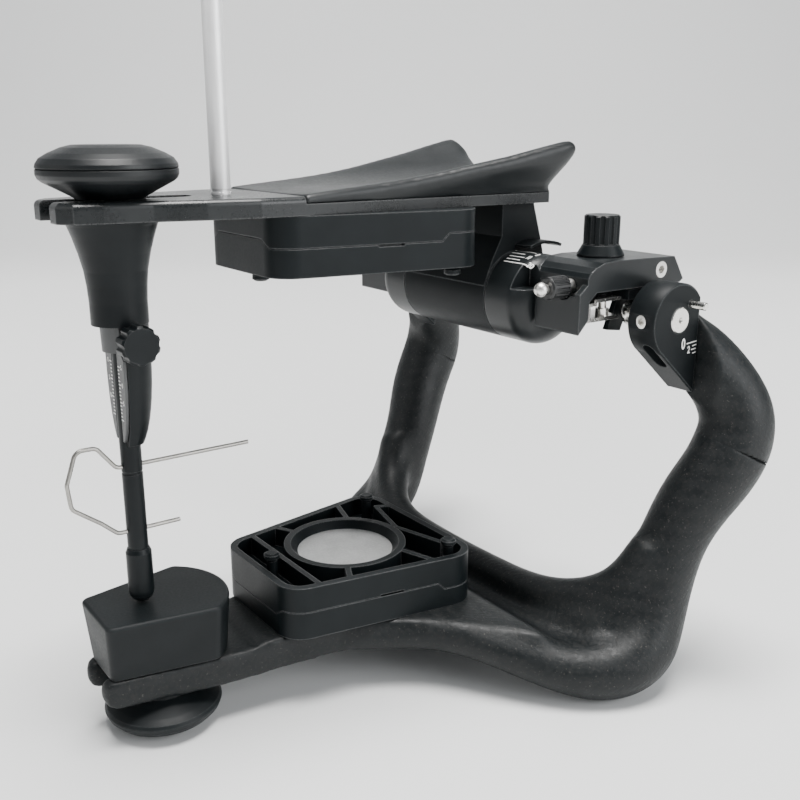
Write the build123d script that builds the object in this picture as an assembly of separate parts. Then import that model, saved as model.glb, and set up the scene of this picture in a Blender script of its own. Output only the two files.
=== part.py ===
from build123d import *
import math
import os

# Semi-adjustable dental articulator, millimetres. +Z is up, +X is the object's right side, the incisal
# pin stands at the front and the condyles at the rear (+Y). The origin is the middle of the foot knob's
# underside, straight below the incisal pin.

# ---------------------------------------------------------------- driving dimensions
FIT = 0.05                  # radial clearance of a turning or sliding fit
REST_GAP = 0.15             # gap between parts of different bodies that rest on each other
SIDE_GAP = 0.4              # side gap between a turning part and its neighbour

# lower frame
BASE_BOTTOM = 13.3          # underside of the front beam
BASE_TOP = 22.0             # top of the front beam
SEAT_TOP = 23.7             # flat seat of the lower carrier
FORK_FRONT = -17.0          # front of both forks
SLOT_HALF = 4.2             # half-width of both fork slots
LOWER_SLOT_END = 12.0        # centre of the lower slot's round end
RIM_Y = 121.0               # rear rim of the web
RIM_Z = 20.6
RIM_R = 6.2

# condylar axis
CONDYLE_Y = 143.8
CONDYLE_Z = 117.4
BALL_X = 53.0
BALL_R = 4.8
HEAD_THICK = 10.1
HEAD_OUT = 70.0             # outer face of the condyle head
HEAD_IN = HEAD_OUT - HEAD_THICK
HEAD_R = 11.6
HEAD_Y = CONDYLE_Y - 0.3    # centre of the head's round front
HEAD_Z = CONDYLE_Z - 0.5
AXLE_R = 3.95
NECK_R = 2.1
BORDER_Y = 152.5            # plane where head and upright top meet
BORDER_LOW = 93.8
BORDER_HIGH = 121.0
SET_SCREW_R = 2.0
BAND_PIN_R = 1.2
BAND_PIN_OUT = HEAD_OUT + 5.5

# split-cast plates
PLATE_FRONT = 35.2
PLATE_REAR = 100.5
PLATE_FRONT_HALF = 21.7
PLATE_REAR_HALF = 33.0
PLATE_CORNER = 8.5
CARRIER_H = 8.7             # carrier height
TONGUE_H = 2.3              # depth of the three locating tongues of the mounting plate
TONGUE_HALF = 13.3          # half-width of the front tongue
TONGUE_RAMP = 3.9           # run of its slanted sides
TONGUE_REAR = 87.2          # where the two rear corner tongues reach full depth
MOUNT_TOP = 16.8            # whole stack of carrier and mounting plate
WALL = 2.4
FLOOR = 1.6
RING_Y = 68.9
RING_R = 20.2
RING_WALL = 2.3
RING_DEPTH = 2.5            # depth of the keeper disc below the plate's face
RING_CONE = 2.2             # how far the ring's mouth opens above the keeper disc
MAGNET_R = 12.0
MAGNET_H = 4.2
CARRIER_SCREW_R = 2.5
CARRIER_SCREW_L = 5.5       # thread length in the frame
CARRIER_HEAD_R = 4.4
CARRIER_HEAD_H = 2.4
POST_R = 1.7
POST_HEAD_R = 2.5
POST_OUT = 3.2              # how far the posts stand out of the mounting plate

# incisal table
TABLE_TOP = 40.0
TABLE_FRONT = -15.7
TABLE_FRONT_HALF = 11.6
TABLE_REAR = 24.4
TABLE_HALF = 17.4
TABLE_SIDE_Y = 15.4         # where the straight sides meet the round rear
TABLE_SIDE_LEAN = 2.8       # how far the sides stand in at the bottom
TABLE_FRONT_LEAN = 1.2
TABLE_SOCKET = 9.3          # depth of the foot knob's socket

# knobs on the fork slots
KNOB_R = 17.3
FOOT_Y = 3.2                # the foot knob's axis
TOP_KNOB_R = 17.9
TOP_KNOB_SEAM = 7.6
TOP_KNOB_H = 13.4
KNOB_NECK_R = 8.8
KNOB_H = 12.1
KNOB_FLAT_R = 9.0
STUD_R = 3.0

# upper frame
UPPER_BOTTOM = 149.8
UPPER_FRONT = -18.0
UPPER_TOP = 154.9
STEP_TOP = 153.0            # top of the frame under the hand rest
STEP_Y = 44.0
REST_REAR = 137.0           # rear tips of the hand rest
REST_PEAK = 168.0
UPPER_REAR = 131.6
UPPER_SLOT_END = 17.0

# cross tube and condylar housings
TUBE_Y = 123.0
TUBE_Z = 120.6
TUBE_R = 14.2
TUBE_HALF = 21.1            # half-length of the fixed drum
BRACKET_HALF = 20.5
CROSS_R = 5.0               # steel cross axle
CROSS_HALF = 33.0
HUB_OUT = 37.5
HUB_ROUND = 6.0
HOUSING_OUT = 57.0
BLOCK_IN = 38.5
ROOF_IN = 34.0
ROOF_UNDER = 126.0
ROOF_TOP = 134.9
FOSSA_THICK = 3.2
FRONT_FACE = 117.6          # upper front face that the protrusion screw stands against
PIVOT_X = 45.5              # vertical axis of the Bennett turntable and its lock knob
PIVOT_Y = 134.5
PIVOT_R = 2.4

# incisal pin group
PIN_Y = -1.0                # the pin line stands a little in front of the foot knob's centre
PIN_R = 2.9
PIN_TOP = 122.0
PIN_BORE_TOP = 139.0
TIP_R = 3.65
TIP_SPIGOT_R = 1.9
SLEEVE_END = 88.3
CAP_TOP = 122.2             # lower edge of the sleeve's trumpet
WIRE_R = 0.6
WIRE_HIGH = 81.75
WIRE_LOW = 62.4
SCREW_Z = 118.3             # thumb screw of the incisal pin
ROD_R = 2.8
ROD_GROOVE = 0.8
ROD_GROOVE_UP = 0.6
ROD_Y = 30.3
ROD_TOP = 234.5            # the free end reaches the bench when the upper member is folded back
ROD_SEAT = 151.5


# ---------------------------------------------------------------- helpers
def at(x, y, z):
    return Pos(x, y, z)


def rod_z(radius, low, high, x=0.0, y=0.0):
    """Cylinder along Z between two heights."""
    return at(x, y, (low + high) / 2) * Cylinder(radius, high - low)


def rod_x(radius, low, high, y, z):
    """Cylinder along X between two places."""
    return at((low + high) / 2, y, z) * Rot(0, 90, 0) * Cylinder(radius, high - low)


def rod_y(radius, low, high, x, z):
    """Cylinder along Y between two places."""
    return at(x, (low + high) / 2, z) * Rot(90, 0, 0) * Cylinder(radius, high - low)


def block(x0, x1, y0, y1, z0, z1):
    """Box between two corners."""
    return at((x0 + x1) / 2, (y0 + y1) / 2, (z0 + z1) / 2) * Box(x1 - x0, y1 - y0, z1 - z0)


def side_profile(points, x0, x1):
    """A closed (y, z) outline extruded from x0 to x1."""
    face = make_face(Polyline(*[(x0, y, z) for y, z in points], close=True))
    return extrude(face, x1 - x0, dir=(1, 0, 0))


def plan_profile(points, z0, z1):
    """A closed (x, y) outline extruded from z0 to z1."""
    face = make_face(Polyline(*[(x, y, z0) for x, y in points], close=True))
    return extrude(face, z1 - z0, dir=(0, 0, 1))


def both_sides(points):
    """The (x, y) points of the right half, front to rear, closed by their mirror images."""
    return points + [(-x, y) for x, y in reversed(points)]


def turned(points, x=0.0, y=0.0):
    """A closed (radius, z) outline turned about the vertical axis through (x, y)."""
    face = make_face(Polyline(*[(r, 0, z) for r, z in points], close=True))
    return at(x, y, 0) * revolve(face, Axis.Z)


def mirrored(shape):
    return mirror(shape, about=Plane.YZ)


def upper_twin(shape):
    """The same plate stack turned over, hanging from the upper frame."""
    return mirror(shape, about=Plane.XY.offset((SEAT_TOP + UPPER_BOTTOM) / 2))


def tube_loft(stations, side=Vector(1, 0, 0)):
    """A smooth tube through (x, y, z, half-width, half-height) stations; side starts off the width."""
    centres = [Vector(*s[:3]) for s in stations]
    faces = []
    for i, station in enumerate(stations):
        ahead = centres[min(i + 1, len(centres) - 1)]
        behind = centres[max(i - 1, 0)]
        along = (ahead - behind).normalized()
        side = (side - along * side.dot(along)).normalized()
        plane = Plane(origin=centres[i], x_dir=side, z_dir=along)
        faces.append(plane * Ellipse(station[3], station[4]).face())
    return loft(faces)


def export(shape, name):
    export_step(shape, f"parts/{name}.step")


# ---------------------------------------------------------------- lower frame
SEAM = Plane(origin=(78.1, 163.3, 76.0), z_dir=(0.13, 0.42, 0.9))


def upright_tube():
    """Right edge roll of the base, which turns up at the heel and rises to the condyle head."""
    return tube_loft([
        (15.5, 52.0, 18.0, 2.6, 2.8),
        (22.5, 64.5, 17.6, 4.8, 4.8),
        (35.0, 83.0, 17.8, 6.0, 5.8),
        (46.5, 92.5, 16.2, 6.6, 6.5),
        (57.5, 101.0, 12.9, 7.2, 7.2),
        (67.0, 111.5, 10.0, 8.6, 8.6),
        (72.3, 123.0, 10.0, 10.1, 10.1),
        (73.1, 132.5, 14.2, 11.2, 11.2),
        (71.2, 139.0, 22.5, 11.1, 11.0),
        (70.5, 143.2, 34.0, 10.8, 10.7),
        (71.2, 148.6, 48.5, 10.8, 10.8),
        (74.3, 154.3, 60.5, 11.3, 11.5),
        (77.2, 160.0, 70.0, 11.5, 11.9),
        (78.0, 164.6, 79.0, 11.5, 12.0),
        (77.2, 165.4, 86.5, 11.2, 11.3),
        (74.8, 163.2, 93.8, 10.4, 10.8),
        (71.6, 158.4, 101.0, 9.2, 10.7),
        (68.4, 152.6, 106.6, 8.1, 10.8),
        (65.6, 146.4, 111.6, 7.4, 10.8),
    ])


def beyond_seam(upper):
    """Large block above (or below) the seam plane at the elbow."""
    side = 1 if upper else -1
    return SEAM * Pos(0, 0, side * 100) * Box(300, 300, 200)


def base_web():
    """Front fork, carrier seat and the dished web between the two bows."""
    side = side_profile([
        (FORK_FRONT, BASE_BOTTOM + 3.2), (FORK_FRONT + 1.0, BASE_BOTTOM + 1.1),
        (FORK_FRONT + 3.0, BASE_BOTTOM), (-2.0, BASE_BOTTOM - 0.4), (20.0, BASE_BOTTOM - 1.0),
        (42.0, BASE_BOTTOM), (60.0, BASE_BOTTOM + 1.4), (75.0, BASE_BOTTOM + 1.2),
        (95.0, BASE_BOTTOM - 0.3), (RIM_Y, RIM_Z - RIM_R), (RIM_Y, RIM_Z + 1.5),
        (115.0, SEAT_TOP - 6.4), (108.0, SEAT_TOP - 6.0), (102.0, SEAT_TOP),
        (PLATE_FRONT - 3.0, SEAT_TOP), (PLATE_FRONT - 9.0, BASE_TOP),
        (FORK_FRONT + 2.2, BASE_TOP), (FORK_FRONT + 0.7, BASE_TOP - 0.7), (FORK_FRONT, BASE_TOP - 2.2),
    ], -80, 80)
    plan = plan_profile(both_sides([
        (7.2, FORK_FRONT), (8.8, FORK_FRONT + 1.0), (9.8, FORK_FRONT + 3.0), (11.2, -6.0), (13.6, 10.0), (16.0, 26.0), (18.6, 42.0),
        (22.0, 55.0), (27.0, 67.0), (36.0, 80.0), (47.0, 90.0), (59.0, 100.0), (66.5, 110.0), (69.0, RIM_Y),
    ]), 0, 40)
    return side & plan


def rim():
    """Rolled rear edge of the web, running up into the uprights on both sides."""
    half = [
        (20.0, RIM_Y, RIM_Z, RIM_R, RIM_R),
        (40.0, RIM_Y + 1.2, RIM_Z + 1.6, RIM_R, RIM_R),
        (54.0, RIM_Y + 6.0, RIM_Z + 4.8, RIM_R + 0.4, RIM_R + 0.4),
        (64.0, RIM_Y + 13.0, RIM_Z + 11.6, RIM_R + 1.2, RIM_R + 1.2),
        (69.5, RIM_Y + 20.0, RIM_Z + 24.0, RIM_R + 1.6, RIM_R + 1.6),
    ]
    return tube_loft([(-s[0], *s[1:]) for s in reversed(half)] + half, side=Vector(0, 1, -1))


def corner_fill():
    """Right corner of the dish, where web, rim and upright run together."""
    return tube_loft([
        (38.0, RIM_Y - 8.0, RIM_Z - 5.2, 2.6, 2.6),
        (50.0, RIM_Y - 3.0, RIM_Z - 3.6, 4.8, 4.8),
        (58.0, RIM_Y + 2.0, RIM_Z - 2.2, 6.6, 6.6),
        (65.0, RIM_Y + 9.0, RIM_Z + 1.9, 7.6, 7.6),
        (69.5, RIM_Y + 15.0, RIM_Z + 8.4, 7.8, 7.8),
    ])


def lower_frame():
    frame = base_web()
    upright = upright_tube() & beyond_seam(False)
    frame = frame + upright + mirrored(upright) + rim()
    frame = frame + corner_fill() + mirrored(corner_fill())
    frame = frame & block(-120, 120, -60, 220, 0, 200)
    slot = block(-SLOT_HALF, SLOT_HALF, FORK_FRONT - 5, LOWER_SLOT_END, 0, 60)
    slot = slot + rod_z(SLOT_HALF, 0, 60, 0, LOWER_SLOT_END)
    return frame - slot - carrier_screw()


def upright_top():
    """Right upper shell of the upright, from the seam at the elbow to the condyle head."""
    shell = upright_tube() & beyond_seam(True)
    shell = shell & block(0, 120, BORDER_Y, 200, 0, 200)
    spigot = rod_y(SPIGOT_R + 0.02, BORDER_Y - 1, BORDER_Y + SPIGOT_L + 0.1, SPIGOT_X, SPIGOT_Z)
    return shell - spigot


SPIGOT_R = 4.0
SPIGOT_L = 5.0
SPIGOT_X = HEAD_OUT - 4.5
SPIGOT_Z = 106.5


def condyle_head():
    """Right condyle head: a disc with a tail that plugs into the upright."""
    disc = rod_x(HEAD_R, HEAD_IN, HEAD_OUT, HEAD_Y, HEAD_Z)
    disc = disc & block(HEAD_IN - 1, HEAD_OUT + 1, 100, BORDER_Y, 80, 140)
    reach = HEAD_R * math.sqrt(0.5)
    tail = side_profile([
        (HEAD_Y - reach, HEAD_Z - reach), (BORDER_Y, BORDER_LOW), (BORDER_Y, BORDER_HIGH), (HEAD_Y, HEAD_Z),
    ], HEAD_IN, HEAD_OUT)
    head = disc + tail
    rims = head.edges().filter_by(GeomType.CIRCLE).filter_by(lambda e: e.radius > HEAD_R - 0.5)
    head = chamfer(rims, 0.5)
    head = head + rod_y(SPIGOT_R, BORDER_Y, BORDER_Y + SPIGOT_L, SPIGOT_X, SPIGOT_Z)
    head = head - rod_x(AXLE_R + FIT, HEAD_IN - 1, HEAD_OUT + 1, CONDYLE_Y, CONDYLE_Z)
    middle = (HEAD_IN + HEAD_OUT) / 2
    head = head - rod_y(SET_SCREW_R, CONDYLE_Y - HEAD_R - 2, CONDYLE_Y - AXLE_R, middle, CONDYLE_Z)
    head = head - rod_x(BAND_PIN_R, HEAD_OUT - 6, HEAD_OUT + 1, *BAND_PIN)
    slot = SlotOverall(11, 4.6)
    lean = math.degrees(math.atan2(BORDER_LOW - (HEAD_Z - reach), BORDER_Y - (HEAD_Y - reach)))
    cutter = extrude(Plane(origin=(middle, 142.2, 103.2), x_dir=(0, 1, 0), z_dir=(1, 0, 0))
                     * Rot(0, 0, lean) * Plane.XZ * slot, 5, both=True)
    return head - cutter


BAND_PIN = (CONDYLE_Y + 4.6, CONDYLE_Z + 4.4)


def band_pin():
    pin = rod_x(BAND_PIN_R, HEAD_OUT - 6, BAND_PIN_OUT, *BAND_PIN)
    tip = pin.edges().filter_by(GeomType.CIRCLE).sort_by(Axis.X)[-1]
    return chamfer(tip, 0.3)


def set_screw():
    middle = (HEAD_IN + HEAD_OUT) / 2
    screw = rod_y(SET_SCREW_R, HEAD_Y - HEAD_R + 0.3, CONDYLE_Y - AXLE_R - REST_GAP, middle, CONDYLE_Z)
    socket = extrude(Plane(origin=(middle, HEAD_Y - HEAD_R, CONDYLE_Z), z_dir=(0, 1, 0))
                     * RegularPolygon(1.2, 6), 2.4)
    return screw - socket


def condyle_axle():
    """Right steel axle: journal in the head, neck, and the spigot that holds the ball."""
    axle = rod_x(AXLE_R, HEAD_IN - 0.4, HEAD_OUT + 0.2, CONDYLE_Y, CONDYLE_Z)
    end = axle.edges().filter_by(GeomType.CIRCLE).sort_by(Axis.X)[-1]
    axle = chamfer(end, 0.3)
    axle = axle + rod_x(NECK_R, BALL_X - 2.5, HEAD_IN, CONDYLE_Y, CONDYLE_Z)
    dimple = at(HEAD_OUT + 0.2 - 0.6, CONDYLE_Y, CONDYLE_Z) * Rot(0, 90, 0) * Cone(0.01, 0.9, 1.2)
    return axle - dimple


def condyle_ball():
    ball = at(BALL_X, CONDYLE_Y, CONDYLE_Z) * Rot(0, 0, 90) * Sphere(BALL_R)
    return ball - rod_x(NECK_R, BALL_X - 2.5, BALL_X + BALL_R + 1, CONDYLE_Y, CONDYLE_Z)


# ---------------------------------------------------------------- split-cast plates
def cast_outline(offset, z0, z1):
    """Rounded trapezoid of the split-cast plates, moved inwards by offset."""
    lean = (PLATE_REAR_HALF - PLATE_FRONT_HALF) / (PLATE_REAR - PLATE_FRONT)
    inset = offset * math.sqrt(1 + lean * lean)
    front = PLATE_FRONT + offset
    rear = PLATE_REAR - offset
    half_front = PLATE_FRONT_HALF + lean * offset - inset
    half_rear = PLATE_REAR_HALF - lean * offset - inset
    solid = plan_profile(both_sides([(half_front, front), (half_rear, rear)]), z0, z1)
    return fillet(solid.edges().filter_by(Axis.Z), max(PLATE_CORNER - offset, 1.5))


SPLIT = SEAT_TOP + CARRIER_H
MOUNT_FACE = SEAT_TOP + MOUNT_TOP
FLOOR_TOP = SPLIT + REST_GAP + FLOOR
KEEPER_R = RING_R - RING_WALL - RING_CONE


def tongues(lift=0.0):
    """Three wedge-sided tongues, one at the front and one at each rear corner, that key the two plates."""
    low = SPLIT - TONGUE_H + lift
    high = SPLIT + lift + 0.01
    front = make_face(Polyline((-TONGUE_HALF, 0, low), (TONGUE_HALF, 0, low), (TONGUE_HALF + TONGUE_RAMP, 0, high),
                               (-TONGUE_HALF - TONGUE_RAMP, 0, high), close=True))
    front = at(0, PLATE_FRONT + 11, 0) * extrude(front, 20, dir=(0, -1, 0))
    rear = side_profile([(TONGUE_REAR, low), (PLATE_REAR + 9, low), (PLATE_REAR + 9, high),
                         (TONGUE_REAR - 2.4, high)], 14, 45)
    return front + rear + mirrored(rear)


def carrier():
    """Split-cast carrier with the seats of the three tongues and the magnet pocket."""
    body = cast_outline(0, SEAT_TOP, SPLIT) - tongues()
    body = body - rod_z(MAGNET_R, SPLIT - MAGNET_H, SPLIT + 1, 0, RING_Y)
    return body - carrier_screw()


def carrier_screw():
    """Screw under the magnet that holds the carrier to its frame."""
    top = SPLIT - MAGNET_H
    head = rod_z(CARRIER_HEAD_R, top - CARRIER_HEAD_H, top, 0, RING_Y)
    return head + rod_z(CARRIER_SCREW_R, SEAT_TOP - CARRIER_SCREW_L, top - 0.5, 0, RING_Y)


def magnet():
    return rod_z(MAGNET_R, SPLIT - MAGNET_H, SPLIT, 0, RING_Y)


def rib(x0, y0, x1, y1, thick=1.8):
    """Straight rib between two plan points."""
    length = math.hypot(x1 - x0, y1 - y0)
    turn = math.degrees(math.atan2(y1 - y0, x1 - x0))
    low = FLOOR_TOP - 1
    return at((x0 + x1) / 2, (y0 + y1) / 2, (low + MOUNT_FACE) / 2) * Rot(0, 0, turn) \
        * Box(length, thick, MOUNT_FACE - low)


def mounting_plate():
    """Open pocketed plate that holds the plaster cast: wall, ring, ribs and locating tongues."""
    low = SPLIT + REST_GAP
    plate = cast_outline(0, low, MOUNT_FACE)
    plate = plate + (cast_outline(0, low - TONGUE_H, low + 0.5) & tongues(REST_GAP))
    plate = plate - cast_outline(WALL, FLOOR_TOP, MOUNT_FACE + 1)
    ribs = rib(-22.5, 46.0, 22.5, 46.0)
    for s in (-1, 1):
        ribs = ribs + rib(s * 17.0, 59.0, s * 25.0, 55.0)
        ribs = ribs + rib(s * 17.0, 80.3, s * 29.0, 83.9)
        ribs = ribs + rib(s * 0.2, 89.6, s * 19.6, 94.6)
        ribs = ribs + rib(s * 19.4, 94.0, s * 16.6, 99.5)
    ribs = ribs & cast_outline(0.5, SPLIT, MOUNT_FACE)
    plate = plate + ribs + rod_z(RING_R, FLOOR_TOP - 1, MOUNT_FACE, 0, RING_Y)
    notch = block(-60, 60, RING_Y - 4, RING_Y + 4, low - 1, low + 0.5) - cast_outline(1.0, 0, 60)
    seat = MOUNT_FACE - RING_DEPTH
    mouth = turned([(0, low - 1), (KEEPER_R, low - 1), (KEEPER_R, seat), (KEEPER_R + RING_CONE, MOUNT_FACE),
                    (KEEPER_R + RING_CONE, MOUNT_FACE + 1), (0, MOUNT_FACE + 1)], 0, RING_Y)
    return plate - mouth - notch


def keeper_disc():
    """Steel disc in the plate's ring that the magnet holds."""
    return rod_z(KEEPER_R, SPLIT + REST_GAP, MOUNT_FACE - RING_DEPTH, 0, RING_Y)


def cast_posts():
    """Three mushroom posts that the plaster grips."""
    posts = []
    top = MOUNT_FACE + POST_OUT
    for x, y in ((0, 41.6), (-24.0, 93.6), (24.0, 93.6)):
        posts.append(turned([(0, FLOOR_TOP), (POST_R + 0.5, FLOOR_TOP), (POST_R, FLOOR_TOP + 2),
                             (POST_R, top - 2.6), (POST_HEAD_R, top - 1.6), (POST_HEAD_R, top - 0.5),
                             (POST_HEAD_R - 0.8, top), (0, top)], x, y))
    return Compound(posts)


# ---------------------------------------------------------------- incisal table and fork knobs
def table_outline(z, side_in, front_in):
    """Outline of the incisal table at one height: straight front and sides, round rear."""
    half = TABLE_HALF - side_in
    front_half = TABLE_FRONT_HALF - side_in
    front = TABLE_FRONT + front_in
    edge = Polyline((-half, TABLE_SIDE_Y, z), (-front_half, front, z), (front_half, front, z),
                    (half, TABLE_SIDE_Y, z))
    back = ThreePointArc((half, TABLE_SIDE_Y, z), (0, TABLE_REAR - front_in, z), (-half, TABLE_SIDE_Y, z))
    sketch = make_face([edge, back])
    sketch = fillet(sketch.vertices().sort_by(Axis.Y)[:2], 2.6)
    return fillet(sketch.vertices().group_by(Axis.Y)[-1], 3.0)


def incisal_table():
    """Plastic block with a flat top that the pin rides on, leaning outwards from its foot."""
    low = BASE_TOP + REST_GAP
    body = loft([table_outline(low, TABLE_SIDE_LEAN, TABLE_FRONT_LEAN), table_outline(TABLE_TOP, 0, 0)])
    body = fillet(body.faces().sort_by(Axis.Z)[-1].edges(), 1.0)
    return body - rod_z(STUD_R + FIT, low - 1, low + TABLE_SOCKET, 0, FOOT_Y)


def knob_outline():
    """Half outline of a fork knob, from the neck at height 0 to the flat at KNOB_H."""
    return [(0, 0), (KNOB_NECK_R, 0), (KNOB_NECK_R + 0.4, 1.0), (KNOB_R - 5.8, 2.3), (KNOB_R - 2.4, 3.8),
            (KNOB_R - 0.6, 4.9), (KNOB_R, 5.9)]


def cap_outline():
    return [(KNOB_R, 6.2), (KNOB_R - 0.5, 7.5), (KNOB_R - 2.0, 9.1), (KNOB_R - 4.8, 10.8),
            (KNOB_R - 7.2, 11.8), (KNOB_FLAT_R, KNOB_H), (0, KNOB_H)]


def foot_knob():
    """Foot disc that the front of the articulator stands on, neck upwards."""
    neck = KNOB_H + 0.1
    points = [(r, KNOB_H - z) for r, z in knob_outline()] + [(r, KNOB_H - z) for r, z in cap_outline()]
    body = turned(points, 0, FOOT_Y) + rod_z(KNOB_NECK_R, KNOB_H - 0.5, neck, 0, FOOT_Y)
    return body - rod_z(STUD_R, KNOB_H - 4, KNOB_H + 5, 0, FOOT_Y)


def foot_stud():
    return rod_z(STUD_R, KNOB_H - 4, BASE_TOP + REST_GAP + TABLE_SOCKET - 0.3, 0, FOOT_Y)


def top_knob():
    low = UPPER_TOP + REST_GAP
    body = turned([(0, low), (KNOB_NECK_R, low), (KNOB_NECK_R + 0.7, low + 0.5), (13.2, low + 2.5),
                   (16.6, low + 4.3), (17.5, low + 5.1), (TOP_KNOB_R, low + 6.1),
                   (TOP_KNOB_R, low + TOP_KNOB_SEAM - 0.2), (TOP_KNOB_R - 0.4, low + TOP_KNOB_SEAM),
                   (0, low + TOP_KNOB_SEAM)], 0, PIN_Y)
    return body - rod_z(STUD_R, low - 1, low + 4, 0, PIN_Y)


def top_knob_cap():
    low = UPPER_TOP + REST_GAP
    return turned([(0, low + TOP_KNOB_SEAM), (TOP_KNOB_R - 0.4, low + TOP_KNOB_SEAM),
                   (TOP_KNOB_R, low + TOP_KNOB_SEAM + 0.2), (TOP_KNOB_R - 0.2, low + 8.8), (16.7, low + 10.2),
                   (14.6, low + 11.4), (11.3, low + 12.8), (8.7, low + TOP_KNOB_H), (0, low + TOP_KNOB_H)],
                  0, PIN_Y)


def top_stud():
    return rod_z(STUD_R, PIN_BORE_TOP + 1.0, UPPER_TOP + REST_GAP + 4, 0, PIN_Y)


# ---------------------------------------------------------------- upper frame
def frame_plan():
    return both_sides([
        (9.0, UPPER_FRONT), (13.0, UPPER_FRONT + 3.0), (14.6, -8.0), (16.4, 4.0), (20.0, 17.0), (22.6, 31.0),
        (23.4, 46.0), (23.6, 78.0), (24.3, 108.0), (25.2, UPPER_REAR),
    ])


def upper_frame():
    plate = plan_profile(frame_plan(), UPPER_BOTTOM, UPPER_TOP)
    top = plate.faces().sort_by(Axis.Z)[-1].edges()
    plate = fillet(top, 1.6)
    step = block(-60, 60, STEP_Y, UPPER_REAR + 20, STEP_TOP, UPPER_TOP + 5)
    slot = block(-SLOT_HALF, SLOT_HALF, UPPER_FRONT - 5, UPPER_SLOT_END, 100, 200)
    slot = slot + rod_z(SLOT_HALF, 100, 200, 0, UPPER_SLOT_END)
    plate = plate - step - slot - upper_twin(carrier_screw())
    return plate - rod_z(ROD_R + FIT, ROD_SEAT, UPPER_TOP + 1, 0, ROD_Y)


def saddle_section(y, half_low, half_top, rim_z, mid_z):
    """Cross-section of the hand rest at one place along its length."""
    rim = 2.2
    p = [(-half_low, STEP_TOP), (half_low, STEP_TOP), (half_top, rim_z - rim), (half_top - rim * 0.9, rim_z)]
    lines = [
        Line((p[0][0], y, p[0][1]), (p[1][0], y, p[1][1])),
        Line((p[1][0], y, p[1][1]), (p[2][0], y, p[2][1])),
        ThreePointArc((p[2][0], y, p[2][1]), (half_top - 0.25, y, rim_z - 0.6), (p[3][0], y, p[3][1])),
        ThreePointArc((p[3][0], y, p[3][1]), (0, y, mid_z), (-p[3][0], y, p[3][1])),
        ThreePointArc((-p[3][0], y, p[3][1]), (-half_top + 0.25, y, rim_z - 0.6), (-p[2][0], y, p[2][1])),
        Line((-p[2][0], y, p[2][1]), (p[0][0], y, p[0][1])),
    ]
    return make_face(lines)


def hand_rest():
    """Saddle-shaped rest with two rising wings, seated on the stepped rear of the upper frame."""
    body = loft([
        saddle_section(STEP_Y, 23.3, 23.4, UPPER_TOP + 0.4, UPPER_TOP + 0.1),
        saddle_section(STEP_Y + 22, 23.4, 23.8, UPPER_TOP + 2.5, UPPER_TOP + 1.0),
        saddle_section(STEP_Y + 46, 23.8, 25.4, UPPER_TOP + 5.5, UPPER_TOP + 1.5),
        saddle_section(STEP_Y + 68, 24.5, 28.6, UPPER_TOP + 9.3, UPPER_TOP + 2.2),
        saddle_section(REST_REAR + 1, 25.4, 31.6, REST_PEAK, UPPER_TOP + 3.3),
    ])
    slope = side_profile([(UPPER_REAR - 0.6, STEP_TOP - 1), (REST_REAR + 1, REST_PEAK + 0.5),
                          (REST_REAR + 9, REST_PEAK + 0.5),
                          (REST_REAR + 9, STEP_TOP - 1)], -60, 60)
    return body - slope - upper_twin(carrier_screw())


def cross_housing():
    """Fixed drum of the cross tube with the bracket that hangs it from the upper frame."""
    drum = rod_x(TUBE_R, -TUBE_HALF, TUBE_HALF, TUBE_Y, TUBE_Z)
    bracket = side_profile([
        (116.4, UPPER_BOTTOM), (116.4, 139.6), (112.6, 132.6), (TUBE_Y - TUBE_R + 0.4, TUBE_Z + 4),
        (TUBE_Y, TUBE_Z), (TUBE_Y + TUBE_R - 0.6, TUBE_Z + 4), (133.2, 137.6), (129.4, UPPER_BOTTOM),
    ], -BRACKET_HALF, BRACKET_HALF)
    body = drum + bracket
    return body - rod_x(CROSS_R, -60, 60, TUBE_Y, TUBE_Z)


def cross_axle():
    return rod_x(CROSS_R, -CROSS_HALF, CROSS_HALF, TUBE_Y, TUBE_Z)


def inclination_cursor():
    """Curved tongue on the bracket that stands over the right inclination scale."""
    arc = []
    for radius, step in ((CURSOR_R, 1), (CURSOR_R - 0.9, -1)):
        for i in range(9)[::step]:
            a = math.radians(68 + 44 * i / 8)
            arc.append((CURSOR_Y + radius * math.cos(a), TUBE_Z - 0.8 + radius * math.sin(a)))
    return side_profile(arc, BRACKET_HALF, BRACKET_HALF + 7)


CURSOR_R = 18.3
CURSOR_Y = 129.0


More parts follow.
